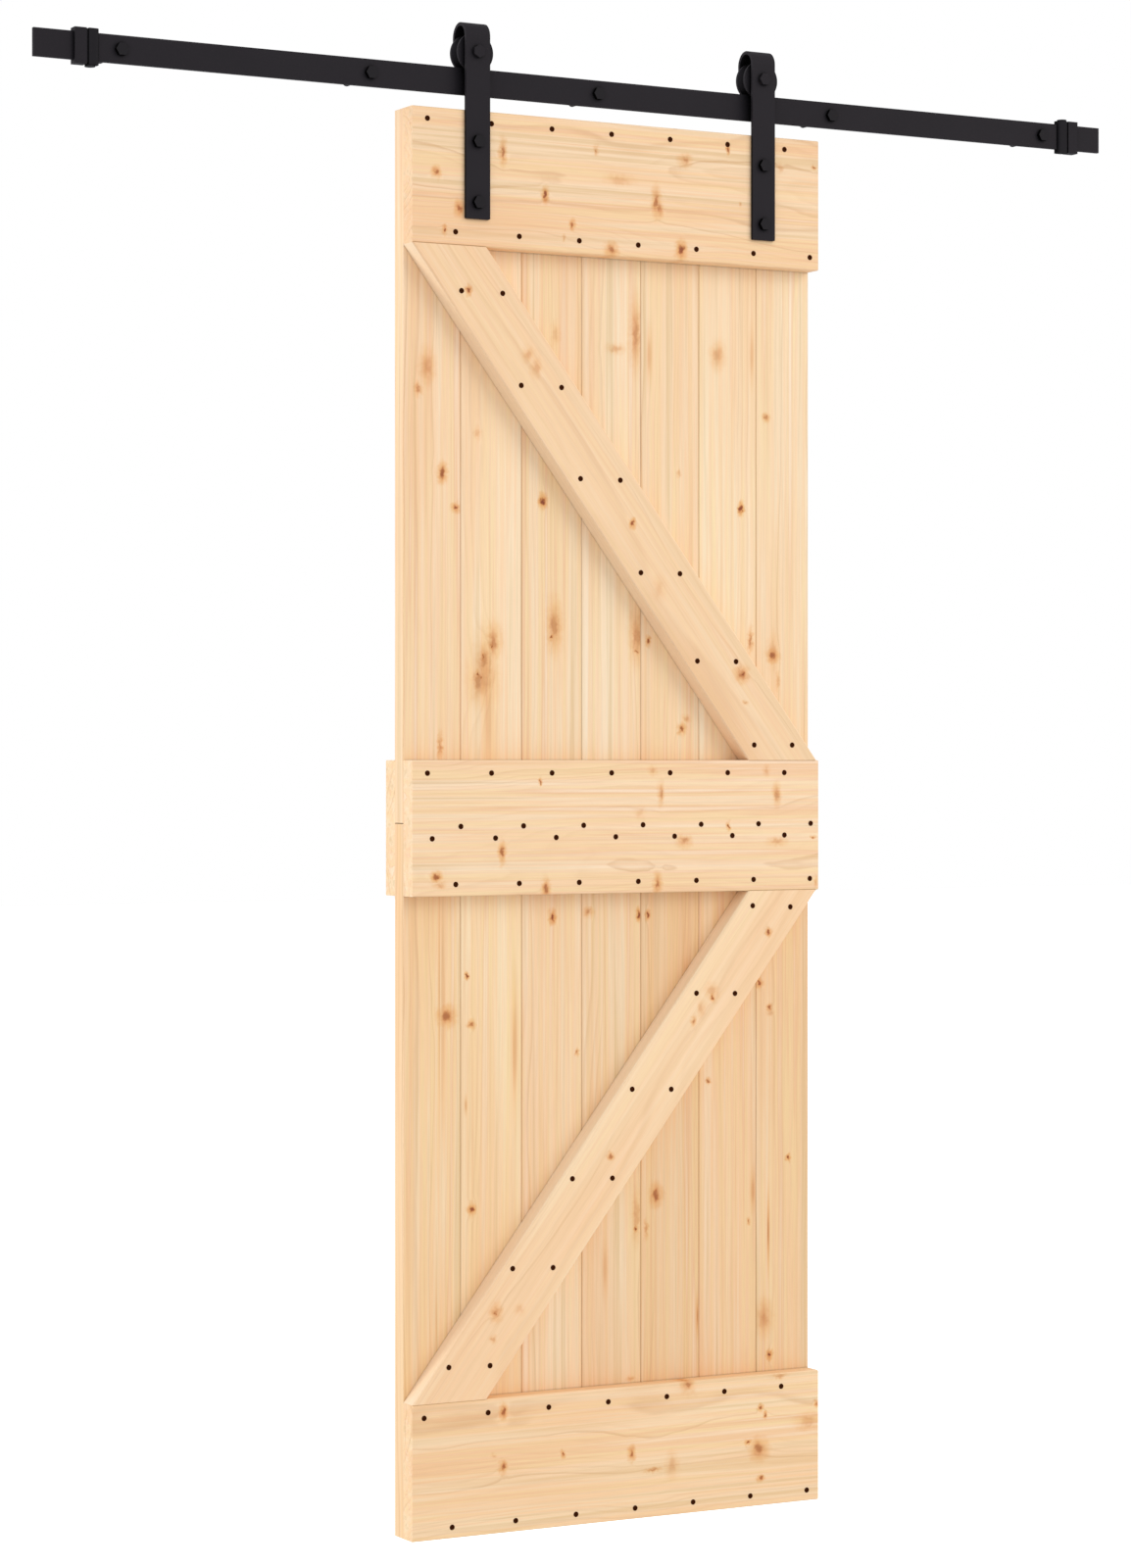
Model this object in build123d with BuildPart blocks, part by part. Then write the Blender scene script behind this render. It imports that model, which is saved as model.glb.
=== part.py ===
from build123d import *
import os

os.makedirs("parts", exist_ok=True)

# A braced plank door that hangs on two grooved wheels from a flat steel rail.
# X runs along the rail, Z is up, and Y points at the wall. The origin is on the wall
# end of the middle spacer, on the rail's centre line. Sizes are in millimetres.
# A depth is a distance in front of the wall, so a face at depth d lies on Y = -d.

# Door leaf
door_width = 700
door_height = 2100
door_centre_x = 32  # where the leaf hangs, measured from the middle rail screw
wall_gap = 8  # free space between the wall and the leaf's rear board
edge_ease = 1.5  # small flat on the long edges of sawn boards

# Planks, upright, tongue and groove
plank_count = 7
plank_pitch = 102.3
plank_thickness = 28
plank_joint_height = 1050  # the upper and lower planks meet here, above the door's bottom
plank_joint_gap = 1.2
tongue_length = 8
tongue_thickness = 8
tongue_play = 0.25
seam_chamfer = 1.3

# Boards across the front, and the one board across the rear
board_thickness = 30
board_width = 200
middle_board_bottom = 943  # above the door's bottom
rear_board_thickness = 30

# Diagonal braces, in the plane of the front boards
brace_cut = 122.5  # length of the level cut at either end of a brace
brace_inset = 3  # from the door's edge to the brace, at the middle board

# Rail
rail_length = 1826
rail_height = 40
rail_thickness = 6
rail_centre_x = 13  # the rail's middle, measured from the middle rail screw
rail_above_door = 24  # free height between the door's top and the rail
left_screw_inset = 131  # from the rail's end to its outermost screw
right_screw_inset = 112
inner_screw_xs = (-379, 0, 414)
spacer_diameter = 15

# Hexagon bolts, nuts and lag screws
screw_diameter = 10
hole_play = 0.25  # between a shank and the wall of its hole
head_across_flats = 17
head_height = 6.5
nut_height = 8

# Hangers: a flat strap bent over the wheel, with a short rear leg
hanger_spacing = 493
hanger_shift = 2  # the pair sits this far right of the door's middle
strap_width = 40
strap_thickness = 5
strap_gap = 33  # between the two legs
strap_overlap = 160  # length of strap that lies on the door
bend_rise = 23.5  # from the axle up to the centre of the bend
strap_bolt_drops = (46, 136)  # below the door's top
strap_corner = 1.5

# Wheels and their axles. A wheel's hub reaches almost to the two legs of the strap.
wheel_radius = 29.3
rim_to_rim = 26  # over the outsides of the two rims
groove_radius = 22
groove_floor = 8
rim_width = 4.5
hub_radius = 11
running_play = 0.3  # from the wheel to the rail and to the legs
bore_play = 0.1
axle_diameter = 10
axle_head_across_flats = 17
axle_head_height = 6
axle_turns = {"left": 30, "right": 0}  # degrees

# End stops: a steel clamp round the rail, a rubber bumper on the door's side, and the
# round-headed screw that pins the bumper
left_stop_inset = 59.5  # from the rail's end to the clamp
right_stop_inset = 45.5
clamp_length = 21
clamp_wall = 5
clamp_lip = 5.5
groove_length = 3
groove_depth = 2
bumper_length = 16.5
bumper_round = 6
stop_screw_diameter = 15
stop_screw_height = 2.5
stop_screw_inset = 12  # from the bumper's free end to the middle of the screw

# Depths in front of the wall
rear_board_depth = wall_gap
plank_depth = rear_board_depth + rear_board_thickness
board_depth = plank_depth + plank_thickness
door_front = board_depth + board_thickness
strap_front = door_front + strap_thickness
gap_centre = door_front - strap_gap / 2
rail_depth = gap_centre - rail_thickness / 2
rail_front = rail_depth + rail_thickness

# Heights, from the rail's centre line
door_top = -rail_height / 2 - rail_above_door
door_bottom = door_top - door_height
joint_z = door_bottom + plank_joint_height
upper_planks_bottom = joint_z + plank_joint_gap / 2
lower_planks_top = joint_z - plank_joint_gap / 2
middle_z = door_bottom + middle_board_bottom
axle_z = rail_height / 2 + groove_radius + running_play
bend_z = axle_z + bend_rise
strap_bottom = door_top - strap_overlap

# Places along the rail
rail_left = rail_centre_x - rail_length / 2
rail_right = rail_centre_x + rail_length / 2
rail_screw_xs = (rail_left + left_screw_inset, *inner_screw_xs, rail_right - right_screw_inset)
door_left = door_centre_x - door_width / 2
door_right = door_centre_x + door_width / 2
left_hanger_x = door_centre_x + hanger_shift - hanger_spacing / 2
right_hanger_x = door_centre_x + hanger_shift + hanger_spacing / 2
hanger_xs = {"left": left_hanger_x, "right": right_hanger_x}
strap_bolt_zs = [door_top - drop for drop in strap_bolt_drops]
strap_bolt_spots = [(x, z) for x in hanger_xs.values() for z in strap_bolt_zs]


def save(name, part):
    part.label = name
    export_step(part, f"parts/{name}.step")


def seam_x(index):
    """X of the seam to the left of a plank. The outer planks are cut to the door's width."""
    if index == 0:
        return door_left
    if index == plank_count:
        return door_right
    return door_centre_x + (index - plank_count / 2) * plank_pitch


def plank(index, bottom, top):
    """One upright plank: a groove on its left edge and a tongue on its right edge."""
    left, right = seam_x(index), seam_x(index + 1)
    rear, front = -plank_depth, -board_depth
    middle = (rear + front) / 2
    half_tongue = tongue_thickness / 2
    with BuildPart() as made:
        with BuildSketch(Plane.XY.offset(bottom)):
            with BuildLine():
                Polyline((left, rear), (right, rear), (right, front), (left, front), close=True)
            make_face()
            if index > 0:
                with Locations((left, front)):
                    Rectangle(seam_chamfer * 1.414, seam_chamfer * 1.414, rotation=45, mode=Mode.SUBTRACT)
                with Locations((left, middle)):
                    Rectangle(
                        2 * (tongue_length + tongue_play),
                        tongue_thickness + 2 * tongue_play,
                        mode=Mode.SUBTRACT,
                    )
            if index < plank_count - 1:
                with Locations((right, front)):
                    Rectangle(seam_chamfer * 1.414, seam_chamfer * 1.414, rotation=45, mode=Mode.SUBTRACT)
                with BuildLine():
                    Polyline(
                        (right - 1, middle - half_tongue),
                        (right + tongue_length, middle - half_tongue),
                        (right + tongue_length, middle + half_tongue),
                        (right - 1, middle + half_tongue),
                        close=True,
                    )
                make_face()
        extrude(amount=top - bottom)
        with BuildSketch(Plane.XZ.offset(plank_depth)):
            with Locations(*strap_bolt_spots):
                Circle(screw_diameter / 2 + hole_play)
        extrude(amount=plank_thickness, mode=Mode.SUBTRACT)
    return made.part


def board(bottom, depth, thickness):
    """One sawn board across the whole door, its long front edges eased."""
    with BuildPart() as made:
        with BuildSketch(Plane.XZ.offset(depth)):
            with Locations((door_centre_x, bottom + board_width / 2)):
                Rectangle(door_width, board_width)
        extrude(amount=thickness)
        chamfer(made.edges().filter_by(Axis.X), edge_ease)
    return made.part


def brace(foot_x, foot_z, head_x, head_z):
    """One diagonal board. The four points are the middles of its two level cuts."""
    half = brace_cut / 2
    with BuildPart() as made:
        with BuildSketch(Plane.XZ.offset(board_depth)):
            with BuildLine():
                Polyline(
                    (foot_x - half, foot_z),
                    (foot_x + half, foot_z),
                    (head_x + half, head_z),
                    (head_x - half, head_z),
                    close=True,
                )
            make_face()
        extrude(amount=board_thickness)
        front = made.faces().filter_by(Axis.Y).sort_by(Axis.Y)[0]
        chamfer(front.edges().filter_by(Axis.X, reverse=True), edge_ease)
    return made.part


# Planks: seven above the middle joint and seven below it
for number in range(plank_count):
    save(f"upper_plank_{number + 1}", plank(number, upper_planks_bottom, door_top))
    save(f"lower_plank_{number + 1}", plank(number, door_bottom, lower_planks_top))

# Boards across the door
with BuildPart() as top_board:
    add(board(door_top - board_width, board_depth, board_thickness))
    with BuildSketch(Plane.XZ.offset(board_depth)):
        with Locations(*strap_bolt_spots):
            Circle(screw_diameter / 2 + hole_play)
    extrude(amount=board_thickness, mode=Mode.SUBTRACT)
save("top_board", top_board.part)
save("middle_board", board(middle_z, board_depth, board_thickness))
save("bottom_board", board(door_bottom, board_depth, board_thickness))
save("rear_middle_board", board(middle_z, rear_board_depth, rear_board_thickness))

# Braces: both lean from the hanging side's outer corner to the far end of the middle board
outer_end_x = door_left + brace_cut / 2
inner_end_x = door_right - brace_inset - brace_cut / 2
upper_brace_top = door_top - board_width
upper_brace_bottom = middle_z + board_width
lower_brace_bottom = door_bottom + board_width
save("upper_brace", brace(inner_end_x, upper_brace_bottom, outer_end_x, upper_brace_top))
save("lower_brace", brace(outer_end_x, lower_brace_bottom, inner_end_x, middle_z))

# Rail, a flat bar that stands on edge
with BuildPart() as rail:
    with BuildSketch(Plane.XZ.offset(rail_depth)):
        with Locations((rail_centre_x, 0)):
            Rectangle(rail_length, rail_height)
        with Locations(*[(x, 0) for x in rail_screw_xs]):
            Circle(screw_diameter / 2 + hole_play, mode=Mode.SUBTRACT)
    extrude(amount=rail_thickness)
save("rail", rail.part)

# Spacers: tubes between the wall and the rail
for number, x in enumerate(rail_screw_xs):
    with BuildPart() as spacer:
        with BuildSketch(Plane.XZ):
            with Locations((x, 0)):
                Circle(spacer_diameter / 2)
                Circle(screw_diameter / 2 + hole_play, mode=Mode.SUBTRACT)
        extrude(amount=rail_depth)
    save(f"spacer_{number + 1}", spacer.part)

# Rail screws: hexagon heads on the rail, shanks shown as far as the wall
with BuildPart() as rail_screws:
    with BuildSketch(Plane.XZ):
        with Locations(*[(x, 0) for x in rail_screw_xs]):
            Circle(screw_diameter / 2)
    extrude(amount=rail_front)
    with BuildSketch(Plane.XZ.offset(rail_front)):
        with Locations(*[(x, 0) for x in rail_screw_xs]):
            RegularPolygon(head_across_flats / 2, 6, major_radius=False)
    extrude(amount=head_height)
save("rail_screws", rail_screws.part)


def end_stop(side, outer_x, inward, upright):
    """A clamp round the rail, the bumper beside it and the bumper's screw.

    inward is +1 when the door lies at +X of the stop. upright is +1 when the screw's head
    is on top, and -1 when the stop is fitted the other way up.
    """
    outer_height = rail_height + 2 * clamp_lip
    outer_depth = rail_thickness + 2 * clamp_wall
    depth_centre = -(rail_depth + rail_thickness / 2)
    plate_length = clamp_length - groove_length
    bumper_x = outer_x + inward * clamp_length
    free_end_x = bumper_x + inward * bumper_length
    with BuildPart() as clamp:
        with BuildSketch(Plane.YZ.offset(outer_x)):
            with Locations((depth_centre, 0)):
                Rectangle(outer_depth, outer_height)
                Rectangle(rail_thickness, rail_height, mode=Mode.SUBTRACT)
        extrude(amount=inward * plate_length)
        with BuildSketch(Plane.YZ.offset(outer_x + inward * plate_length)):
            with Locations((depth_centre, 0)):
                Rectangle(outer_depth - 2 * groove_depth, outer_height - 2 * groove_depth)
                Rectangle(rail_thickness, rail_height, mode=Mode.SUBTRACT)
        extrude(amount=inward * groove_length)
    save(f"{side}_stop_clamp", clamp.part)
    with BuildPart() as bumper:
        with BuildSketch(Plane.YZ.offset(bumper_x)):
            with Locations((depth_centre, 0)):
                Rectangle(outer_depth, outer_height)
        extrude(amount=inward * bumper_length)
        free_end = bumper.faces().filter_by(Axis.X).sort_by(Axis.X)[-1 if inward > 0 else 0]
        fillet(free_end.edges().filter_by(Axis.Z), bumper_round)
        with BuildSketch(Plane.YZ.offset(bumper_x)):
            with Locations((depth_centre, 0)):
                Rectangle(rail_thickness, rail_height)
        extrude(amount=inward * bumper_length, mode=Mode.SUBTRACT)
    save(f"{side}_stop_bumper", bumper.part)
    with BuildPart() as screw:
        with BuildSketch(Plane.XY.offset(upright * outer_height / 2)):
            with Locations((free_end_x - inward * stop_screw_inset, depth_centre)):
                Circle(stop_screw_diameter / 2)
        extrude(amount=upright * stop_screw_height)
    save(f"{side}_stop_screw", screw.part)


end_stop("left", rail_left + left_stop_inset, 1, -1)
end_stop("right", rail_right - right_stop_inset, -1, 1)


def hanger_strap(x):
    """A flat bar on the door's front, bent over the wheel and ended in a round rear leg."""
    front_out, front_in = -strap_front, -door_front
    rear_in = front_in + strap_gap
    rear_out = rear_in + strap_thickness
    centre = -gap_centre
    inner_bend = strap_gap / 2
    outer_bend = inner_bend + strap_thickness
    rear_end = axle_z - strap_width / 2
    with BuildPart() as strap:
        with BuildSketch(Plane.YZ.offset(x - strap_width / 2)):
            with BuildLine():
                Line((front_out, strap_bottom), (front_out, bend_z))
                ThreePointArc((front_out, bend_z), (centre, bend_z + outer_bend), (rear_out, bend_z))
                Line((rear_out, bend_z), (rear_out, rear_end))
                Line((rear_out, rear_end), (rear_in, rear_end))
                Line((rear_in, rear_end), (rear_in, bend_z))
                ThreePointArc((rear_in, bend_z), (centre, bend_z + inner_bend), (front_in, bend_z))
                Line((front_in, bend_z), (front_in, strap_bottom))
                Line((front_in, strap_bottom), (front_out, strap_bottom))
            make_face()
        extrude(amount=strap_width)
        ends = strap.edges().filter_by(Axis.Y)
        fillet(ends.group_by(Axis.Z)[0], strap_corner)
        rear_corners = strap.edges().filter_by(Axis.Y).filter_by_position(Axis.Z, rear_end - 1, rear_end + 1)
        fillet(rear_corners, strap_width / 2 - 0.5)
        with BuildSketch(Plane.XZ.offset(-rear_out)):
            with Locations((x, axle_z)):
                Circle(axle_diameter / 2 + hole_play)
        extrude(amount=rear_out - front_out, mode=Mode.SUBTRACT)
        with BuildSketch(Plane.XZ.offset(door_front)):
            with Locations(*[(x, z) for z in strap_bolt_zs]):
                Circle(screw_diameter / 2 + hole_play)
        extrude(amount=strap_thickness, mode=Mode.SUBTRACT)
    return strap.part


def grooved_wheel(x):
    """A turned wheel: two rims, a groove that fits the rail, and a hub proud of its sides."""
    rim_outer = rim_to_rim / 2
    rim_inner = rim_outer - rim_width
    hub_end = strap_gap / 2 - running_play
    bore = axle_diameter / 2 + bore_play
    axle = Axis((x, -gap_centre, axle_z), (0, 1, 0))
    with BuildPart() as wheel:
        with BuildSketch(Plane((x, -gap_centre, axle_z), x_dir=(0, 1, 0), z_dir=(1, 0, 0))):
            with BuildLine():
                Polyline(
                    (-hub_end, bore),
                    (hub_end, bore),
                    (hub_end, hub_radius),
                    (rim_outer, hub_radius),
                    (rim_outer, wheel_radius),
                    (rim_inner, wheel_radius),
                    (groove_floor / 2, groove_radius),
                    (-groove_floor / 2, groove_radius),
                    (-rim_inner, wheel_radius),
                    (-rim_outer, wheel_radius),
                    (-rim_outer, hub_radius),
                    (-hub_end, hub_radius),
                    close=True,
                )
            make_face()
        revolve(axis=axle)
    return wheel.part


def axle_bolt(x, turn):
    """The wheel's axle, a bolt through both legs of the strap, head in front, nut behind.

    turn is the angle in degrees at which the bolt was tightened.
    """
    rear_leg_depth = door_front - strap_gap - strap_thickness
    with BuildPart() as axle:
        with BuildSketch(Plane.XZ.offset(rear_leg_depth - nut_height)):
            with Locations((x, axle_z)):
                RegularPolygon(axle_head_across_flats / 2, 6, major_radius=False, rotation=turn)
        extrude(amount=nut_height)
        with BuildSketch(Plane.XZ.offset(rear_leg_depth)):
            with Locations((x, axle_z)):
                Circle(axle_diameter / 2)
        extrude(amount=strap_front - rear_leg_depth)
        with BuildSketch(Plane.XZ.offset(strap_front)):
            with Locations((x, axle_z)):
                RegularPolygon(axle_head_across_flats / 2, 6, major_radius=False, rotation=turn)
        extrude(amount=axle_head_height)
    return axle.part


def strap_bolts(x):
    """Two hexagon bolts clamp a strap to the top board and the planks, with nuts behind."""
    spots = [(x, z) for z in strap_bolt_zs]
    with BuildPart() as bolts:
        with BuildSketch(Plane.XZ.offset(plank_depth - nut_height)):
            with Locations(*spots):
                RegularPolygon(head_across_flats / 2, 6, major_radius=False)
        extrude(amount=nut_height)
        with BuildSketch(Plane.XZ.offset(plank_depth)):
            with Locations(*spots):
                Circle(screw_diameter / 2)
        extrude(amount=strap_front - plank_depth)
        with BuildSketch(Plane.XZ.offset(strap_front)):
            with Locations(*spots):
                RegularPolygon(head_across_flats / 2, 6, major_radius=False)
        extrude(amount=head_height)
    return bolts.part


# Hangers, left and right, with their wheels
for side, x in hanger_xs.items():
    save(f"{side}_hanger_strap", hanger_strap(x))
    save(f"{side}_wheel", grooved_wheel(x))
    save(f"{side}_axle_bolt", axle_bolt(x, axle_turns[side]))
    save(f"{side}_strap_bolts", strap_bolts(x))
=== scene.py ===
import math
import bpy
from mathutils import Matrix, Vector


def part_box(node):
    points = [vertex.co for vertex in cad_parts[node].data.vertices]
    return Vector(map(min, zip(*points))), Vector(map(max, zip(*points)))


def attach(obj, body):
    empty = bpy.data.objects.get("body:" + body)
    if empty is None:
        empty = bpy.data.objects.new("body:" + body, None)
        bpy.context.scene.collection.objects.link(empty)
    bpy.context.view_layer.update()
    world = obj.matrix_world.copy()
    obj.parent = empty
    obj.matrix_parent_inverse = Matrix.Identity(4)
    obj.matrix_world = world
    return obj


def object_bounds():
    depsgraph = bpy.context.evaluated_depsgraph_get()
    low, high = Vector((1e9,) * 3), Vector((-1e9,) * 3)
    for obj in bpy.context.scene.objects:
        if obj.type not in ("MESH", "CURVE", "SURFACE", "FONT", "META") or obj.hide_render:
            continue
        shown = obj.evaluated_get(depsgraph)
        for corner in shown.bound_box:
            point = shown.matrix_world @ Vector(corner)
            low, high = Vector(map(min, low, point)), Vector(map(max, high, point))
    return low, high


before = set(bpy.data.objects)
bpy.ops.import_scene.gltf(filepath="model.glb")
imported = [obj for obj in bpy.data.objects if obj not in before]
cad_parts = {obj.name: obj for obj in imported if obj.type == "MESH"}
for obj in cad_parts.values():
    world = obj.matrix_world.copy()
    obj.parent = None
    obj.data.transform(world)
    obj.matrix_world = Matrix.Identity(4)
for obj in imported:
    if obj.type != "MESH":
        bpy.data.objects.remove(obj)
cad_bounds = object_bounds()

# Rail and spacers
# A flat steel bar stands on its edge and is held off the wall by five round steel
# tubes. Both are powder coated: matt black paint, baked on, with a faint fine
# pebble from the powder that only shows where light grazes the face.


def linear(code):
    """A colour written as sRGB hex, as the linear RGBA that a shader takes."""
    parts = [int(code[i:i + 2], 16) / 255 for i in (0, 2, 4)]
    return [p / 12.92 if p <= 0.04045 else ((p + 0.055) / 1.055) ** 2.4 for p in parts] + [1.0]


def add(tree, kind, inputs=(), **settings):
    """A node with its settings. An input is given by name or number, as a value or as a socket to
    link. On a Map Range, 1 and 2 are the range that it reads and 3 and 4 the range that it gives;
    on a colour Mix, 0 is the share of the second colour and 6 and 7 are the colours."""
    made = tree.nodes.new(kind)
    for name, value in settings.items():
        setattr(made, name, value)
    for name, value in dict(inputs).items():
        socket = made.inputs[name]
        if isinstance(value, bpy.types.NodeSocket):
            tree.links.new(value, socket)
        else:
            socket.default_value = value
    return made


def coated_steel(name, colours, roughness, gloss, pebble_mm, pebble_depth, flank_shade=1.0):
    """Steel or rubber with a dull black skin, whose tone drifts between two colours. gloss is the
    shader's specular level. Painted shade: flank_shade is how much of the colour is left on faces
    that stand edge-on to the door, painted nearly black on small fasteners, and it darkens near other
    parts."""
    made = bpy.data.materials.new(name)
    made.use_nodes = True
    tree = made.node_tree
    tree.nodes.clear()
    place = add(tree, "ShaderNodeTexCoord").outputs["Object"]

    # The coat's tone is a little uneven, in clouds about 100 mm wide.
    clouds = add(tree, "ShaderNodeTexNoise", {"Vector": place, "Scale": 9.0, "Detail": 3.0}).outputs[0]
    tone = add(tree, "ShaderNodeMix", {
        0: clouds, 6: linear(colours[0]), 7: linear(colours[1])}, data_type="RGBA").outputs[2]

    # Painted shade: the colour is darker on edge-on faces, and wherever something stands closer than 30 mm.
    normal = add(tree, "ShaderNodeNewGeometry").outputs["Normal"]
    facing = add(tree, "ShaderNodeSeparateXYZ", {0: normal}).outputs["Y"]
    facing = add(tree, "ShaderNodeMath", {0: facing}, operation="ABSOLUTE").outputs[0]
    left = add(tree, "ShaderNodeMapRange", {0: facing, 1: 0.3, 2: 0.9, 3: flank_shade, 4: 1.0}).outputs[0]
    shade_occlusion = add(tree, "ShaderNodeAmbientOcclusion", {"Distance": 0.03}).outputs["AO"]
    shade_occlusion = add(tree, "ShaderNodeMapRange", {
        0: shade_occlusion, 1: 0.3, 2: 0.85, 3: 0.05, 4: 1.0}).outputs[0]
    left = add(tree, "ShaderNodeMath", {0: left, 1: shade_occlusion}, operation="MULTIPLY").outputs[0]
    tone = add(tree, "ShaderNodeVectorMath", {0: tone, "Scale": left}, operation="SCALE").outputs[0]

    # The pebble is a fifth of a millimetre high at most, and makes the dullness uneven.
    pebble = add(tree, "ShaderNodeTexNoise", {
        "Vector": place, "Scale": 1000 / pebble_mm, "Detail": 2.0, "Roughness": 0.55}).outputs[0]
    sheen = add(tree, "ShaderNodeMapRange", {
        0: pebble, 1: 0.3, 2: 0.7, 3: roughness - 0.05, 4: roughness + 0.05}).outputs[0]
    bump = add(tree, "ShaderNodeBump", {
        "Height": pebble, "Strength": pebble_depth, "Distance": 0.0002}).outputs[0]
    shader = add(tree, "ShaderNodeBsdfPrincipled", {
        "Base Color": tone, "Roughness": sheen, "IOR": 1.5, "Specular IOR Level": gloss, "Normal": bump})
    add(tree, "ShaderNodeOutputMaterial", {"Surface": shader.outputs[0]})
    return made


# The pebble of such a coat is near 0.6 mm; it is drawn at 1.6 mm so that it shows.
# Its colour carries painted shade wherever another part stands within 30 mm.
powder_coat = coated_steel(
    "black_powder_coated_steel", ("252225", "292629"),
    roughness=0.6, gloss=0.06, pebble_mm=1.6, pebble_depth=0.2)
for name in ("rail", "spacer_1", "spacer_2", "spacer_3", "spacer_4", "spacer_5"):
    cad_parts[name].material_slots[0].material = powder_coat

# Lag screws
# Hexagon-headed lag screws pass through the rail and each spacer into the wall.
# They are steel with black zinc, thinner and a little smoother than paint. Its grain
# is too fine to see and is drawn at 0.9 mm, so that the heads look less flat.
# Painted shade: the heads' edge-on faces keep a tenth of their colour, so each head shows a black side.
black_zinc = coated_steel(
    "black_zinc_plated_steel", ("222022", "262426"),
    roughness=0.5, gloss=0.04, pebble_mm=0.9, pebble_depth=0.1, flank_shade=0.1)
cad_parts["rail_screws"].material_slots[0].material = black_zinc

# End stops
# A folded steel clamp slides over each end of the rail, is fixed by one small screw
# in its edge, and holds a moulded rubber block that the hanger's wheel runs against.
# The rubber is the dullest black of all; its grain too is drawn coarser, at 2.2 mm.
for name in ("left_stop_clamp", "right_stop_clamp"):
    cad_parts[name].material_slots[0].material = powder_coat
for name in ("left_stop_screw", "right_stop_screw"):
    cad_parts[name].material_slots[0].material = black_zinc
# Painted shade: the bumpers' edge-on faces keep a quarter of their colour.
moulded_rubber = coated_steel(
    "moulded_black_rubber", ("222022", "272527"),
    roughness=0.75, gloss=0.04, pebble_mm=2.2, pebble_depth=0.2, flank_shade=0.25)
for name in ("left_stop_bumper", "right_stop_bumper"):
    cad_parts[name].material_slots[0].material = moulded_rubber

# Planks
# Fourteen tongue-and-groove planks of knotty pine, seven above and seven below a
# joint behind the middle board, planed and left unfinished. The eye sees straight
# soft growth lines, a slow drift from cream to peach, and small red-brown knots.


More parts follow.
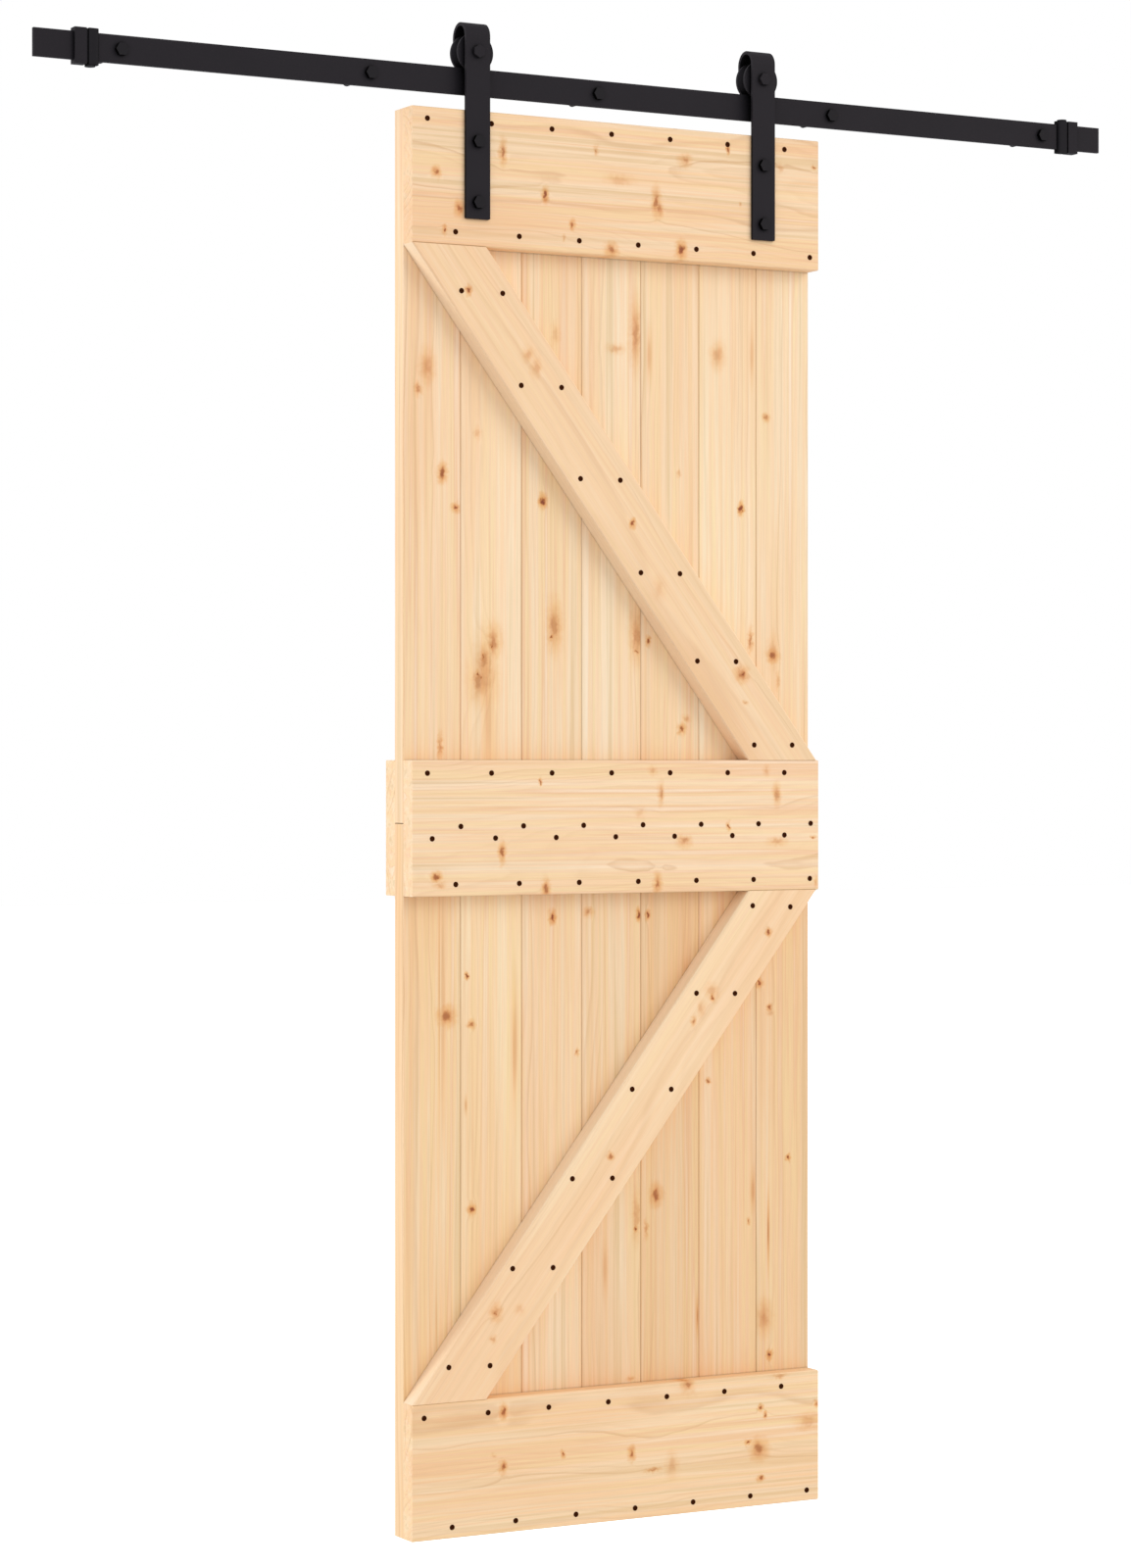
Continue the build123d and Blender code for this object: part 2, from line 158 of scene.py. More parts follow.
def planed_pine(name, centre, seed, tint, knots, pith, ring_mm, lean, sway, line_depth,
                painted_side_light=0.0, even=0.0):
    """Planed softwood. centre is the board's middle, and tint its own shade as sRGB hex. pith is
    where the tree's centre lies from the board's, across and behind, in mm. lean is the grain's
    angle from upright about Y, sway how far the rings wander, and line_depth how strongly they
    show. painted_side_light is how far faces edge-on to the door are painted paler, as painted
    light on their shaded sides, and even how far the broad bands of colour are evened out."""
    made = bpy.data.materials.new(name)
    made.use_nodes = True
    tree = made.node_tree
    tree.nodes.clear()
    place = add(tree, "ShaderNodeTexCoord").outputs["Object"]
    local = add(tree, "ShaderNodeMapping", {
        "Vector": place, "Location": centre, "Rotation": (0, lean, 0)}, vector_type="TEXTURE").outputs[0]
    shift = (seed * 1.37, seed * 2.11, seed * 3.73)

    def stretched(across, along, detail, rough=0.5):
        """A noise with about so many patches a metre across the grain and along it."""
        where = add(tree, "ShaderNodeVectorMath", {
            0: local, 1: (across, across, along), 2: shift}, operation="MULTIPLY_ADD").outputs[0]
        return add(tree, "ShaderNodeTexNoise", {
            "Vector": where, "Scale": 1.0, "Detail": detail, "Roughness": rough}).outputs

    # The stem is never quite round or straight. At a sway of 1, the rings drift by up to 35 mm
    # along the board and flutter by up to 2 mm over shorter stretches.
    field = local
    for across, along, reach in ((7, 1.6, 0.07), (48, 11, 0.004)):
        wander = add(tree, "ShaderNodeVectorMath", {
            0: stretched(across, along, 2.0)["Color"], 1: (0.5, 0.5, 0.5)}, operation="SUBTRACT").outputs[0]
        field = add(tree, "ShaderNodeVectorMath", {
            0: wander, 1: (reach * sway, reach * sway, 0.0), 2: field}, operation="MULTIPLY_ADD").outputs[0]
    field = add(tree, "ShaderNodeVectorMath", {
        0: field, 1: (1, 1, 0),
        2: (-pith[0] / 1000, -pith[1] / 1000, 0)}, operation="MULTIPLY_ADD").outputs[0]
    radius = add(tree, "ShaderNodeVectorMath", {0: field}, operation="LENGTH").outputs["Value"]

    # Each knot shows as a stain in a halo, and lifts the rings round it by up to 4 mm. Its rim is
    # ragged by up to 5 mm; only a long streak of resin is straight.
    ragged = add(tree, "ShaderNodeTexNoise", {
        "Vector": place, "Scale": 130.0, "Detail": 2.0}).outputs["Color"]
    ragged = add(tree, "ShaderNodeVectorMath", {
        0: ragged, 1: (0.5, 0.5, 0.5)}, operation="SUBTRACT").outputs[0]
    ragged = add(tree, "ShaderNodeVectorMath", {
        0: ragged, 1: (0.011, 0, 0.011), 2: place}, operation="MULTIPLY_ADD").outputs[0]
    stain = halo = 0.0
    for x, z, half_width, half_height, strength in knots:
        wide, high = half_width / 1000, half_height / 1000
        scaled = add(tree, "ShaderNodeVectorMath", {
            0: place if high > 5 * wide else ragged, 1: (1 / wide, 0, 1 / high),
            2: (-x / 1000 / wide, 0, -z / 1000 / high)}, operation="MULTIPLY_ADD").outputs[0]
        away = add(tree, "ShaderNodeVectorMath", {0: scaled}, operation="LENGTH").outputs["Value"]
        core, glow, lift = [
            add(tree, "ShaderNodeMapRange", {0: away, 1: outside, 2: inside, 3: 0.0, 4: most * strength},
                interpolation_type="SMOOTHERSTEP").outputs[0]
            for outside, inside, most in ((1.25, 0.1, 1.0), (2.3, 0.6, 0.85), (4.0, 0.0, 0.004))]
        stain = add(tree, "ShaderNodeMath", {0: core, 1: stain}, operation="MAXIMUM").outputs[0]
        halo = add(tree, "ShaderNodeMath", {0: glow, 1: halo}, operation="MAXIMUM").outputs[0]
        radius = add(tree, "ShaderNodeMath", {0: radius, 1: lift}, operation="ADD").outputs[0]

    # Annual rings, some wide and some narrow: pale early wood that darkens into a thin line of
    # late wood. A few years leave a strong line and most a faint one, and each fades in places.
    rings_a_metre = 1000 / ring_mm
    spread = add(tree, "ShaderNodeMath", {0: radius, 1: rings_a_metre / 5}, operation="MULTIPLY").outputs[0]
    uneven = add(tree, "ShaderNodeTexNoise", {
        "W": spread, "Scale": 1.0, "Detail": 1.0}, noise_dimensions="1D").outputs[0]
    count = add(tree, "ShaderNodeMath", {0: uneven, 1: 4.0}, operation="MULTIPLY").outputs[0]
    count = add(tree, "ShaderNodeMath", {
        0: radius, 1: rings_a_metre, 2: count}, operation="MULTIPLY_ADD").outputs[0]
    season = add(tree, "ShaderNodeMath", {0: count}, operation="FRACT").outputs[0]
    ramp = add(tree, "ShaderNodeValToRGB", {0: season})
    ramp.color_ramp.interpolation = "EASE"
    for at, grey in ((0.5, 0.15), (0.86, 1.0)):
        ramp.color_ramp.elements.new(at).color = (grey, grey, grey, 1)
    ramp.color_ramp.elements[-1].color = (0, 0, 0, 1)
    year = add(tree, "ShaderNodeMath", {0: count}, operation="FLOOR").outputs[0]
    chance = add(tree, "ShaderNodeTexWhiteNoise", {"W": year}, noise_dimensions="1D").outputs["Value"]
    chance = add(tree, "ShaderNodeMath", {0: chance, 1: 2.0}, operation="POWER").outputs[0]
    depth = add(tree, "ShaderNodeMapRange", {
        0: chance, 1: 0.0, 2: 1.0, 3: 0.12 * line_depth, 4: 0.9 * line_depth}).outputs[0]
    patch = add(tree, "ShaderNodeMapRange", {
        0: stretched(22, 1.8, 2.0)[0], 1: 0.35, 2: 0.65, 3: 0.3, 4: 1.0}).outputs[0]
    line = add(tree, "ShaderNodeMath", {0: ramp.outputs[0], 1: depth}, operation="MULTIPLY").outputs[0]
    line = add(tree, "ShaderNodeMath", {0: line, 1: patch}, operation="MULTIPLY").outputs[0]

    # Bands from straw to peach, then a broad flush, paler and darker streaks, and the ring lines.
    bands = add(tree, "ShaderNodeValToRGB", {0: stretched(58, 0.8, 3.0, 0.6)[0]})
    stops = bands.color_ramp.elements
    for at in (0.43, 0.49, 0.55, 0.61):
        stops.new(at)
    stops[0].position, stops[-1].position = 0.35, 0.68
    for stop, code in zip(stops, ("EBCFA2", "F8DFBA", "F8D5AA", "F7DBAA", "F3CB9F", "FAE0BF")):
        stop.color = linear(code)
    layers = [(even, "F7DCB4")] if even else []
    for across, along, detail, rough, least, most, share, code in (
            (9, 1.3, 2.0, 0.5, 0.45, 0.65, 0.5, "F3C697"),
            (90, 0.9, 2.0, 0.6, 0.53, 0.72, 0.45 * line_depth, "FFEFD6"),
            (210, 1.3, 3.0, 0.6, 0.52, 0.76, 0.5 * line_depth, "DDB27E")):
        streak = add(tree, "ShaderNodeMapRange", {
            0: stretched(across, along, detail, rough)[0], 1: least, 2: most, 3: 0.0, 4: share})
        layers.append((streak.outputs[0], code))
    colour = bands.outputs[0]
    for share, code in layers + [(line, "CFA06C")]:
        colour = add(tree, "ShaderNodeMix", {
            0: share, 6: colour, 7: linear(code)}, data_type="RGBA").outputs[2]

    # Over them lie the knots, from a yellow halo to a brown heart. Seams and the corners beside boards
    # and braces get painted shade, a little greyer than open wood, over 3.5 mm.
    shades = []
    if knots:
        heart = add(tree, "ShaderNodeMapRange", {0: stain, 1: 0.45, 2: 1.0, 3: 0.0, 4: 0.9}).outputs[0]
        shades = [(halo, "F2D09A"), (stain, "D9A25E"), (heart, "A07848")]
    shade_occlusion = add(tree, "ShaderNodeAmbientOcclusion", {"Distance": 0.0035}).outputs["AO"]
    corner = add(tree, "ShaderNodeMapRange", {0: shade_occlusion, 1: 0.9, 2: 0.5, 3: 0.0, 4: 0.55}).outputs[0]
    for share, code in shades + [(corner, "C6BFB4")]:
        colour = add(tree, "ShaderNodeMix", {
            0: share, 6: colour, 7: linear(code)}, data_type="RGBA", blend_type="MULTIPLY").outputs[2]
    colour = add(tree, "ShaderNodeVectorMath", {
        0: colour, 1: linear(tint)[:3]}, operation="MULTIPLY").outputs[0]
    # Painted light: faces edge-on to the door are mixed toward a pale colour, so that the shaded sides of
    # the braces read paler.
    if painted_side_light:
        normal = add(tree, "ShaderNodeNewGeometry").outputs["Normal"]
        facing = add(tree, "ShaderNodeSeparateXYZ", {0: normal}).outputs["Y"]
        facing = add(tree, "ShaderNodeMath", {0: facing}, operation="ABSOLUTE").outputs[0]
        edge = add(tree, "ShaderNodeMapRange", {0: facing, 1: 0.9, 2: 0.3, 3: 0.0, 4: painted_side_light}).outputs[0]
        colour = add(tree, "ShaderNodeMix", {
            0: edge, 6: colour, 7: linear("FFEACB")}, data_type="RGBA").outputs[2]

    # Fibres speckle the colour and break up the dull shine. Real ones are finer than a hair;
    # they are drawn about 1 mm apart so that they show.
    fibre = stretched(1100, 26, 2.0)[0]
    pores = add(tree, "ShaderNodeMapRange", {0: fibre, 1: 0.3, 2: 0.7, 3: 0.965, 4: 1.02}).outputs[0]
    colour = add(tree, "ShaderNodeVectorMath", {0: colour, "Scale": pores}, operation="SCALE").outputs[0]
    relief = add(tree, "ShaderNodeMath", {0: line, 1: 0.6, 2: fibre}, operation="MULTIPLY_ADD").outputs[0]
    bump = add(tree, "ShaderNodeBump", {"Height": relief, "Strength": 0.25, "Distance": 0.00025}).outputs[0]
    sheen = add(tree, "ShaderNodeMapRange", {0: fibre, 1: 0.3, 2: 0.7, 3: 0.55, 4: 0.66}).outputs[0]
    shader = add(tree, "ShaderNodeBsdfPrincipled", {
        "Base Color": colour, "Roughness": sheen, "IOR": 1.5, "Normal": bump})
    add(tree, "ShaderNodeOutputMaterial", {"Surface": shader.outputs[0]})
    return made


# Each plank: pith across and behind in mm, ring width in mm, seed, tint.
plank_makings = {
    "upper_plank_1": ((-150, 60), 9.0, 1.0, "FCF7F4"),
    "upper_plank_2": ((40, 190), 7.5, 2.0, "FFFFFF"),
    "upper_plank_3": ((170, 90), 7.0, 3.0, "FAF6F2"),
    "upper_plank_4": ((-120, 150), 8.0, 4.0, "FCFDFF"),
    "upper_plank_5": ((160, 120), 7.0, 5.0, "FBF8F5"),
    "upper_plank_6": ((-140, 160), 8.0, 6.0, "FDFFFF"),
    "upper_plank_7": ((150, 70), 7.5, 7.0, "FCFEFF"),
    "lower_plank_1": ((-130, 60), 8.0, 8.0, "FAF2E6"),
    "lower_plank_2": ((120, 160), 8.0, 9.0, "FDFBF3"),
    "lower_plank_3": ((-170, 80), 7.0, 10.0, "FAF4EE"),
    "lower_plank_4": ((150, 140), 8.0, 11.0, "F6EFE7"),
    "lower_plank_5": ((-160, 100), 7.0, 12.0, "F1E4D5"),
    "lower_plank_6": ((160, 120), 7.5, 13.0, "F6EADF"),
    "lower_plank_7": ((-140, 130), 8.0, 14.0, "F5EBDF"),
}
# Knots: x, z, half width, half height in mm, and how dark.
plank_knots = {
    "lower_plank_1": [
        (-247, -1379, 11.5, 12.0, 0.76), (-264, -1828, 1.0, 45.6, 0.35), (-259, -1340, 0.9, 150, 0.5),
        (-253, -1340, 3.6, 150, 0.3)],
    "lower_plank_2": [
        (-205, -1392, 4.7, 5.0, 0.7), (-213, -1320, 2.7, 4.0, 1.0), (-133, -1430, 5.0, 80, 0.4),
        (-215, -1512, 1.9, 10.5, 0.42), (-205, -1666, 5.0, 6.7, 0.92)],
    "lower_plank_3": [
        (-70, -1236, 4.3, 8.2, 1.0), (-27, -1439, 2.3, 4.8, 0.69)],
    "lower_plank_4": [
        (-8, -1230, 6.5, 6.2, 0.56), (-13, -1564, 4.8, 4.8, 0.77), (80, -1235, 4.0, 7.4, 1.0),
        (21, -1767, 4.3, 31.1, 0.28), (74, -1712, 3.3, 5.2, 0.92), (76, -1692, 6.3, 29.1, 0.42),
        (65, -1937, 5.4, 3.1, 0.42)],
    "lower_plank_5": [
        (95, -1236, 3.2, 5.9, 0.92), (163, -1338, 5.3, 19.5, 0.35), (110, -1662, 8.1, 13.2, 0.77),
        (110, -1663, 4.4, 5.7, 0.77), (92, -1713, 2.7, 10.9, 0.49), (183, -1851, 1.8, 21.5, 0.56)],
    "lower_plank_6": [
        (202, -1491, 3.3, 4.3, 0.77), (282, -1664, 3.7, 23.7, 0.42), (274, -1711, 2.8, 4.4, 0.69)],
    "lower_plank_7": [
        (294, -1345, 5.0, 4.9, 0.84), (312, -1382, 3.3, 4.8, 0.77), (314, -1391, 5.4, 3.3, 0.28),
        (346, -1616, 3.4, 4.4, 1.0), (310, -1729, 1.9, 43.5, 0.63), (302, -1861, 11.1, 19.8, 0.49),
        (312, -1919, 4.0, 6.2, 1.0)],
    "upper_plank_1": [
        (-280, -422, 9.9, 19.3, 0.49), (-294, -454, 4.9, 8.0, 0.56), (-254, -577, 6.3, 11.3, 0.86),
        (-231, -629, 5.4, 6.0, 0.86), (-258, -979, 3.2, 14.1, 0.56)],
    "upper_plank_2": [
        (-195, -516, 4.1, 7.3, 0.28), (-184, -866, 15.0, 42.0, 0.45), (-186, -882, 18.0, 30.0, 0.5),
        (-177, -935, 8.0, 70.0, 0.25), (-169, -826, 10.0, 20.0, 0.6), (-184, -854, 11.0, 24.0, 0.6),
        (-194, -884, 10.0, 24.0, 0.6), (-171, -832, 2.2, 5.1, 0.94), (-185, -848, 1.8, 7.3, 0.88),
        (-195, -873, 2.2, 6.1, 0.94), (-190, -879, 2.4, 3.2, 0.94)],
    "upper_plank_3": [
        (-86, -614, 5.1, 8.4, 1.0), (-64, -362, 5.6, 12.3, 0.28), (-66, -800, 9.5, 30.0, 0.58),
        (-70, -818, 2.8, 4.5, 0.92)],
    "upper_plank_4": [
        (75, -355, 9.0, 40.0, 0.55), (40, -379, 12.3, 5.8, 0.42), (77, -813, 10.0, 31.0, 0.55),
        (76, -836, 4.8, 3.7, 0.7), (27, -676, 4.0, 4.5, 0.62)],
    "upper_plank_5": [
        (98, -387, 4.3, 31.0, 0.35), (151, -563, 2.9, 5.0, 0.35), (95, -820, 3.5, 5.6, 0.92),
        (155, -953, 5.3, 7.5, 0.84), (164, -937, 5.8, 4.2, 0.42)],
    "upper_plank_6": [
        (219, -381, 9.7, 15.9, 0.49), (280, -378, 3.9, 33.6, 0.28), (261, -614, 4.1, 8.2, 1.0),
        (277, -817, 3.9, 16.0, 0.63), (219, -916, 6.8, 6.7, 0.42)],
    "upper_plank_7": [
        (306, -473, 4.8, 5.6, 0.62), (318, -833, 7.9, 20.2, 0.35), (318, -840, 8.3, 9.4, 0.85),
        (328, -879, 2.5, 10.5, 0.35)],
}
for name, (pith, ring_mm, seed, tint) in plank_makings.items():
    low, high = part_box(name)
    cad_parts[name].material_slots[0].material = planed_pine(
        "planed_pine_" + name, (low + high) / 2, seed, tint, plank_knots[name], pith, ring_mm,
        lean=0.0, sway=0.6, line_depth=0.58)

# Boards
# Three wide pine boards cross the front and one crosses the rear behind the middle
# one. They are flat sawn, so their rings wander more than the planks' straight ones.
board_makings = {
    "top_board": ((-30, 70), 6.5, 21.0, "F9F0E9"),
    "middle_board": ((60, 110), 6.5, 25.0, "FCF6F2"),
    "bottom_board": ((-70, 90), 6.5, 23.0, "FDF7EF"),
    "rear_middle_board": ((20, -90), 8.0, 24.0, "FBF7F2"),
}
board_knots = {
    "top_board": [
        (-279, -139, 6.3, 6.4, 0.77), (-169, -102, 4.6, 14.1, 0.7), (-11, -88, 3.4, 5.0, 0.62),
        (143, -91, 8.6, 7.4, 0.56), (-97, -160, 4.6, 8.9, 0.95), (93, -157, 5.7, 16.5, 0.7),
        (99, -167, 4.6, 11.1, 0.62), (-51, -201, 3.4, 7.0, 0.77), (-266, -223, 3.3, 4.9, 0.92),
        (-241, -190, 5.8, 8.8, 0.77), (16, -235, 8.5, 9.0, 0.7), (137, -228, 7.2, 10.7, 0.95),
        (-66, -223, 2.3, 3.7, 0.42), (374, -85, 3.7, 2.6, 0.77), (313, -91, 3.9, 5.9, 0.28),
        (220, -69, 2.3, 5.6, 0.77), (240, -151, 1.9, 3.3, 0.42), (29, -129, 18.8, 5.7, 0.28)],
    "middle_board": [
        (-279, -1172, 6.7, 6.0, 0.84), (-170, -1138, 4.6, 12.3, 0.77), (-106, -1034, 2.4, 3.5, 0.77),
        (-96, -1192, 5.4, 10.2, 0.77), (-273, -1185, 8.0, 3.8, 0.42), (101, -1052, 4.5, 12.9, 0.56),
        (87, -1016, 5.2, 5.1, 0.35), (307, -1054, 5.4, 13.1, 0.56), (288, -1017, 5.0, 5.9, 0.35),
        (142, -1124, 9.7, 6.4, 0.56), (307, -1126, 13.0, 4.6, 0.42), (220, -1102, 2.8, 4.8, 0.92),
        (95, -1187, 5.5, 12.6, 0.69), (373, -1119, 3.3, 2.0, 0.77), (377, -1189, 2.3, 6.6, 0.42),
        (64, -1080, 6.6, 7.0, 0.21)],
    "bottom_board": [
        (-168, -1964, 5.5, 8.2, 0.84), (-169, -2047, 4.8, 7.3, 0.77), (-67, -2035, 2.6, 4.5, 0.77),
        (-184, -2028, 3.4, 2.4, 0.28), (148, -1949, 9.0, 8.6, 0.63), (278, -1993, 3.4, 3.8, 0.85),
        (286, -2005, 3.4, 4.3, 0.85), (275, -2057, 12.0, 12.6, 0.7), (254, -2045, 4.5, 3.3, 0.92),
        (50, -2045, 4.9, 8.4, 0.77), (121, -2068, 8.1, 14.0, 0.35), (87, -2073, 10.7, 2.7, 0.56),
        (278, -2102, 4.5, 4.3, 0.77), (378, -1995, 2.8, 3.9, 0.77), (365, -2022, 18.7, 9.5, 0.42),
        (312, -1948, 9.3, 2.4, 0.42)],
    "rear_middle_board": [],
}
for name, (pith, ring_mm, seed, tint) in board_makings.items():
    low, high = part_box(name)
    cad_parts[name].material_slots[0].material = planed_pine(
        "planed_pine_" + name, (low + high) / 2, seed, tint, board_knots[name], pith, ring_mm,
        lean=math.pi / 2, sway=1.5, line_depth=0.65)

# Braces
# Two pine braces cross the fields between the boards. Each is cut level at both ends
# and butts against the boards above and below it, screwed to every plank it crosses.
level_cut = 0.1225  # length of the level cut at either end of a brace, in metres
brace_knots = {
    "upper_brace": [
        (-226, -310, 3.9, 5.4, 0.85), (-126, -400, 7.3, 8.9, 0.42), (-113, -418, 6.4, 10.5, 0.42),
        (52, -645, 4.0, 6.0, 0.92), (244, -870, 9.7, 10.0, 0.63), (245, -870, 4.1, 4.6, 0.92),
        (251, -912, 3.4, 2.9, 0.49), (98, -742, 8.6, 13.2, 0.21)],
    "lower_brace": [
        (292, -1265, 3.8, 4.8, 0.92), (192, -1363, 3.7, 5.1, 0.85), (191, -1353, 8.3, 9.1, 0.39),
        (172, -1378, 5.3, 9.7, 0.35), (159, -1397, 3.7, 6.3, 0.62), (-180, -1817, 7.6, 10.4, 0.56),
        (-180, -1819, 3.4, 4.1, 0.77), (-185, -1856, 4.5, 4.3, 0.42), (-141, -1815, 6.9, 6.1, 0.21),
        (14, -1595, 4.3, 4.6, 0.69)],
}
# The braces' edge-on sides get painted light: they are mixed 0.45 of the way to a pale colour.
for name, side, seed, tint in (("upper_brace", -1, 31.0, "FAF0E8"), ("lower_brace", 1, 32.0, "FFFAF5")):
    low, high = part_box(name)
    lean = side * math.atan2(high.x - low.x - level_cut, high.z - low.z)
    pith, ring_mm = (50 * side, 90), 7.0
    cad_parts[name].material_slots[0].material = planed_pine(
        "planed_pine_" + name, (low + high) / 2, seed, tint, brace_knots[name], pith, ring_mm,
        lean=lean, sway=0.8, line_depth=0.45, painted_side_light=0.45, even=0.55)

# Wood screws
# Eighty countersunk screws hold the boards and braces to the planks. They are
# driven flush, and their black heads show as small round dots.
head_radius = 0.0041  # in metres
screw_rows = [  # x of the first screw, z, then the steps to the next ones, in mm
    (-293.6, -61.3, (105.9, 101.5, 101.8, 101.7, 101.4, 101.9)),
    (-247.3, -224.7, (106.0, 101.6, 101.4, 101.7, 101.5, 101.8)),
    (-293.5, -1020.1, (105.8, 101.6, 101.8, 101.6, 101.6, 101.5)),
    (-238.6, -1098.5, (104.5, 101.8, 102.3, 101.8, 102.1, 94.3)),
    (-285.7, -1116.2, (104.7, 102.0, 101.8, 102.3, 102.0, 93.5)),
    (-247.0, -1183.7, (105.8, 101.4, 101.6, 101.6, 101.7, 101.6)),
    (-298.9, -1964.0, (105.5, 101.8, 101.5, 101.6, 101.5, 101.7)),
    (-253.0, -2127.7, (105.7, 101.9, 101.7, 101.3, 101.6, 101.8)),
]
screw_pairs = [  # the x and z of two screws side by side in a brace, in mm
    (-237.5, -310.7, -169.1, -310.7), (-138.0, -445.4, -69.9, -445.4), (-37.6, -580.2, 30.7, -580.2),
    (66.3, -718.4, 134.5, -718.4), (165.2, -850.4, 233.7, -850.4), (266.3, -977.7, 334.6, -977.7),
    (263.5, -1223.9, 331.3, -1226.9), (163.6, -1355.1, 231.8, -1357.4), (51.2, -1496.5, 119.2, -1499.3),
    (-51.4, -1626.1, 17.0, -1628.7), (-152.4, -1754.0, -84.4, -1756.7), (-258.4, -1892.6, -190.2, -1894.9),
]
places = []
for x, z, steps in screw_rows:
    places += [(x + sum(steps[:i]), z) for i in range(len(steps) + 1)]
for x1, z1, x2, z2 in screw_pairs:
    places += [(x1, z1), (x2, z2)]
board_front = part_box("top_board")[0].y
seats = bpy.data.meshes.new("screw_seats")
seats.from_pydata([(x / 1000, board_front, z / 1000) for x, z in places], [], [])
wood_screws = bpy.data.objects.new("wood_screws", seats)
bpy.context.scene.collection.objects.link(wood_screws)

# One head of unit radius, facing -Y: a rim, a flat and a cross recess of twelve sides.
# It stands out of the board by 0.15 of its radius.
arm, half_arm = 0.58, 0.14  # how far the recess's arms reach, and half their width
cross = []
for turn in range(4):
    spin = Matrix.Rotation(turn * math.pi / 2, 3, "Y")
    cross += [spin @ Vector(p) for p in ((arm, 0, -half_arm), (arm, 0, half_arm), (half_arm, 0, half_arm))]
cross = sorted(cross, key=lambda p: math.atan2(p.z, p.x))
angles = [math.atan2(p.z, p.x) for p in cross]
head_rings = [[Vector((size * math.cos(a), y, size * math.sin(a))) for a in angles]
              for size, y in ((1.0, 0.1), (1.0, -0.08), (0.9, -0.15))]
head_rings += [[p * size + Vector((0, y, 0)) for p in cross] for size, y in ((1.0, -0.15), (0.8, -0.03))]
sides, last_ring = len(angles), len(head_rings) - 1
head_faces = [[sides * k + i, sides * k + (i + 1) % sides,
               sides * (k + 1) + (i + 1) % sides, sides * (k + 1) + i]
              for k in range(last_ring) for i in range(sides)]
head_faces.append(list(range(sides * last_ring, sides * (last_ring + 1))))
head_mesh = bpy.data.meshes.new("screw_head")
head_mesh.from_pydata([p for ring in head_rings for p in ring], [], head_faces)
head_mesh.update()
screw_head = bpy.data.objects.new("screw_head", head_mesh)
bpy.context.scene.collection.objects.link(screw_head)

# Black oxide is a thin brown-black skin without gloss. On a head of 8 mm its grain hardly shows.
black_oxide = coated_steel(
    "black_oxide_screw_steel", ("3A1A0A", "42200E"),
    roughness=0.7, gloss=0.0, pebble_mm=0.4, pebble_depth=0.1)

# Every seat gets one head, turned as the driver happened to leave it.
group = bpy.data.node_groups.new("wood_screws", "GeometryNodeTree")
head_inputs = (("Head", "NodeSocketObject", screw_head), ("Head Radius", "NodeSocketFloat", head_radius),
               ("Seed", "NodeSocketInt", 7), ("Finish", "NodeSocketMaterial", black_oxide))
group.interface.new_socket("Seats", in_out="INPUT", socket_type="NodeSocketGeometry")
for label, kind, value in head_inputs:
    group.interface.new_socket(label, in_out="INPUT", socket_type=kind)
group.interface.new_socket("Screws", in_out="OUTPUT", socket_type="NodeSocketGeometry")
given = add(group, "NodeGroupInput").outputs
points = add(group, "GeometryNodeMeshToPoints", {"Mesh": given["Seats"]})
head = add(group, "GeometryNodeObjectInfo", {"Object": given["Head"]})
turn = add(group, "FunctionNodeRandomValue", {
    "Min": (0, -math.pi, 0), "Max": (0, math.pi, 0), "Seed": given["Seed"]}, data_type="FLOAT_VECTOR")
heads = add(group, "GeometryNodeInstanceOnPoints", {
    "Points": points.outputs[0], "Instance": head.outputs["Geometry"], "Rotation": turn.outputs[0],
    "Scale": given["Head Radius"]})
real = add(group, "GeometryNodeRealizeInstances", {"Geometry": heads.outputs[0]})
painted = add(group, "GeometryNodeSetMaterial", {"Geometry": real.outputs[0], "Material": given["Finish"]})
add(group, "NodeGroupOutput", {"Screws": painted.outputs[0]})
maker = wood_screws.modifiers.new("screws", "NODES")
maker.node_group = group
identifiers = {item.name: item.identifier for item in group.interface.items_tree if item.in_out == "INPUT"}
for label, kind, value in head_inputs:
    maker[identifiers[label]] = value
made = bpy.data.meshes.new_from_object(wood_screws.evaluated_get(bpy.context.evaluated_depsgraph_get()))
wood_screws.modifiers.clear()
wood_screws.data = made
bpy.data.objects.remove(screw_head)
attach(wood_screws, "door")

# Hangers
# Each hanger is one flat steel strap, bent over its wheel, powder coated like the
# rail, and bolted through the top board. The wheels are turned steel, coated too.
for side in ("left", "right"):
    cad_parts[side + "_hanger_strap"].material_slots[0].material = powder_coat
    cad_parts[side + "_wheel"].material_slots[0].material = powder_coat
    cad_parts[side + "_strap_bolts"].material_slots[0].material = black_zinc
    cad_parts[side + "_axle_bolt"].material_slots[0].material = powder_coat

# Camera
# It stands left of the door at middle height and looks level, from the photograph's
# angle and with its framing.
lens = bpy.data.cameras.new("camera")
lens.lens = 89.955
lens.sensor_width = 36
lens.shift_y = -0.015
lens.clip_end = 100
camera = bpy.data.objects.new("camera", lens)
camera.location = (-2.8675, -5.2244, -1.0015)
camera.rotation_euler = (math.radians(90), 0, math.radians(-28.67))
bpy.context.scene.collection.objects.link(camera)
bpy.context.scene.camera = camera

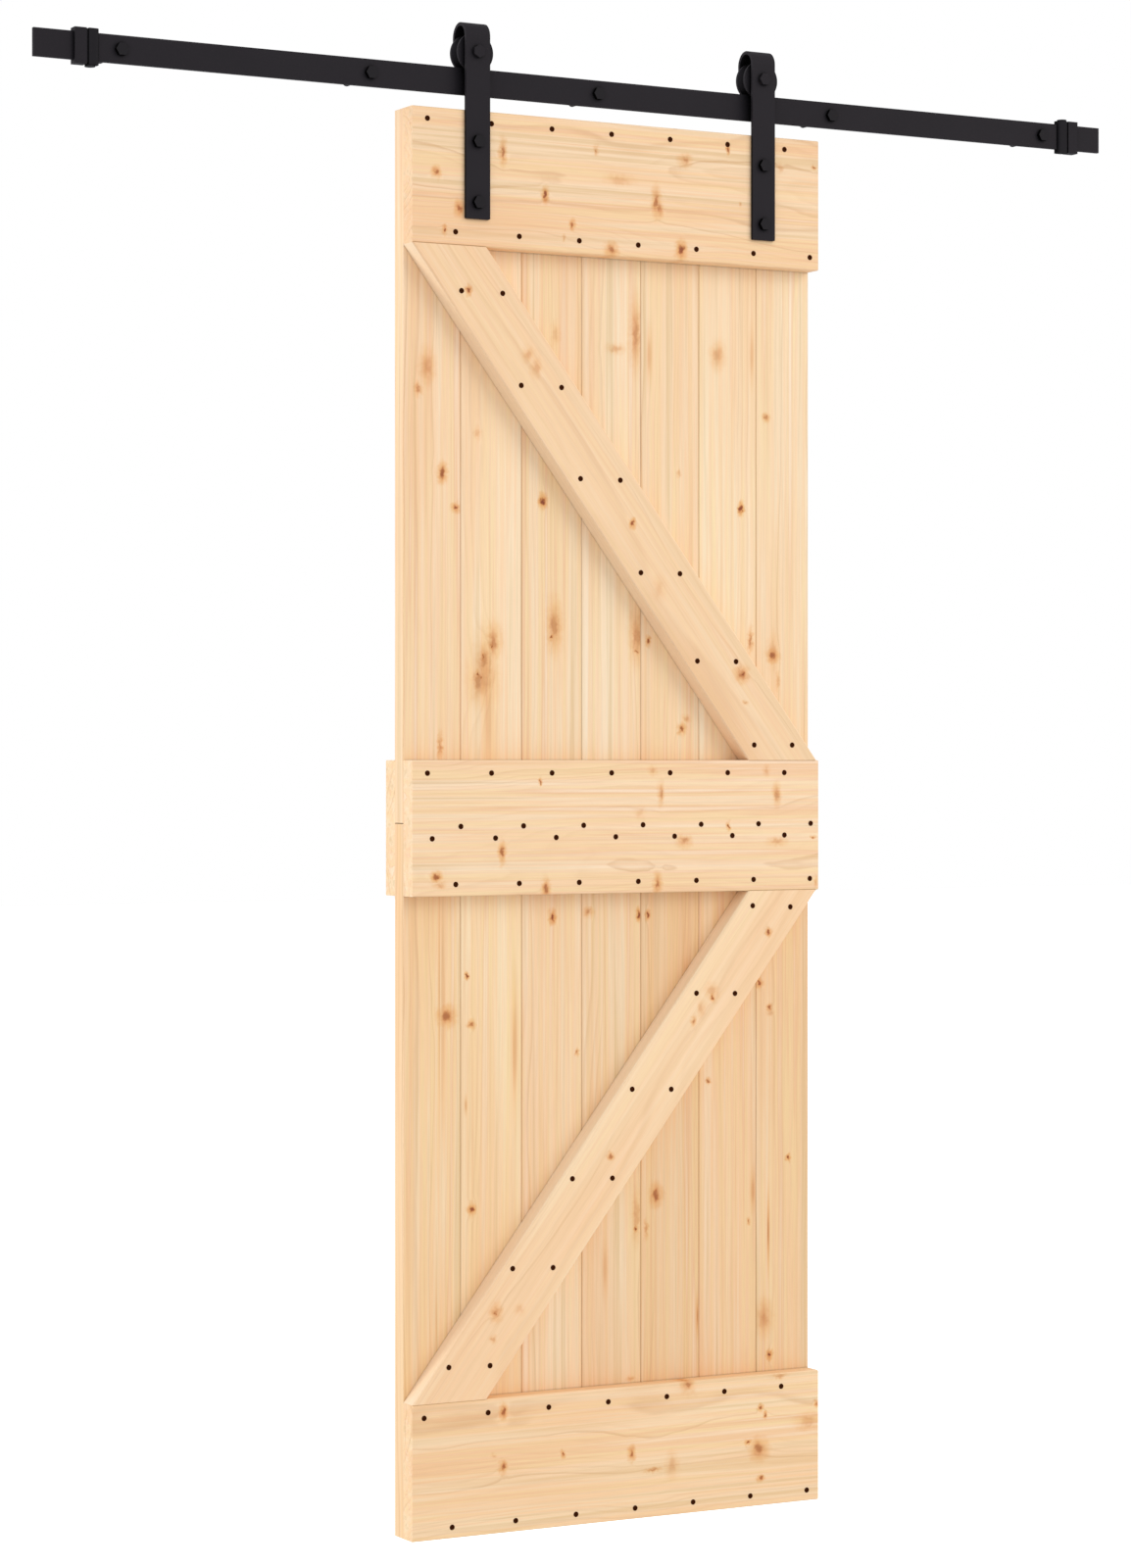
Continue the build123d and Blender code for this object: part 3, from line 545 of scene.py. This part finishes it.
# Studio
# A wide pale floor, a quarter of a metre below the hanging door, and white open air.
# A large soft lamp stands high on the right, and one on the left a little behind.
half_floor = 30
floor_height = cad_bounds[0].z - 0.25
floor_mesh = bpy.data.meshes.new("studio_floor")
floor_mesh.from_pydata([(x * half_floor, y * half_floor, floor_height)
                        for x, y in ((-1, -1), (1, -1), (1, 1), (-1, 1))], [], [(0, 1, 2, 3)])
studio_floor = bpy.data.objects.new("studio_floor", floor_mesh)
bpy.context.scene.collection.objects.link(studio_floor)
paint = bpy.data.materials.new("pale_floor_paint")
paint.use_nodes = True
tree = paint.node_tree
tree.nodes.clear()
ray = add(tree, "ShaderNodeLightPath").outputs
glow = add(tree, "ShaderNodeMath", {0: ray["Is Camera Ray"], 1: 0.8}, operation="MULTIPLY").outputs[0]
coat = add(tree, "ShaderNodeBsdfPrincipled", {
    "Base Color": linear("E8E8E8"), "Roughness": 0.8,
    "Emission Color": (1, 1, 1, 1), "Emission Strength": glow})
add(tree, "ShaderNodeOutputMaterial", {"Surface": coat.outputs[0]})
floor_mesh.materials.append(paint)

# The air is plain white where it is seen, and lights the door a little cooler than the lamps.
air = bpy.data.worlds.new("studio_air")
air.use_nodes = True
tree = air.node_tree
tree.nodes.clear()
ray = add(tree, "ShaderNodeLightPath").outputs
seen = add(tree, "ShaderNodeMath", {
    0: ray["Is Camera Ray"], 1: ray["Is Glossy Ray"]}, operation="MAXIMUM").outputs[0]
seen = add(tree, "ShaderNodeMath", {
    0: seen, 1: ray["Is Transmission Ray"]}, operation="MAXIMUM").outputs[0]
strength = add(tree, "ShaderNodeMapRange", {0: seen, 1: 0.0, 2: 1.0, 3: 0.97, 4: 1.0}).outputs[0]
tone = add(tree, "ShaderNodeMix", {
    0: seen, 6: linear("F0F5FF"), 7: (1, 1, 1, 1)}, data_type="RGBA").outputs[2]
sky = add(tree, "ShaderNodeBackground", {"Color": tone, "Strength": strength})
add(tree, "ShaderNodeOutputWorld", {"Surface": sky.outputs[0]})
bpy.context.scene.world = air

# Both lamps look at the middle of the door. Distance and size are in metres, power in watts.
aim = Vector((0.03, -0.08, -1.1))
for name, towards, distance, size, power, colour in (
        ("key_lamp", (1.0, -1.2, 0.8), 9.5, 6.5, 265, (1.0, 0.92, 0.8)),
        ("side_lamp", (-1.0, 0.35, 0.15), 12, 5.0, 430, (1.0, 0.97, 0.92))):
    light = bpy.data.lights.new(name, "AREA")
    light.shape = "DISK"
    light.size = size
    light.energy = power
    light.color = colour
    lamp = bpy.data.objects.new(name, light)
    lamp.location = aim + Vector(towards).normalized() * distance
    lamp.rotation_euler = (aim - lamp.location).to_track_quat("-Z", "Y").to_euler()
    bpy.context.scene.collection.objects.link(lamp)

bpy.context.scene.view_settings.view_transform = "Standard"
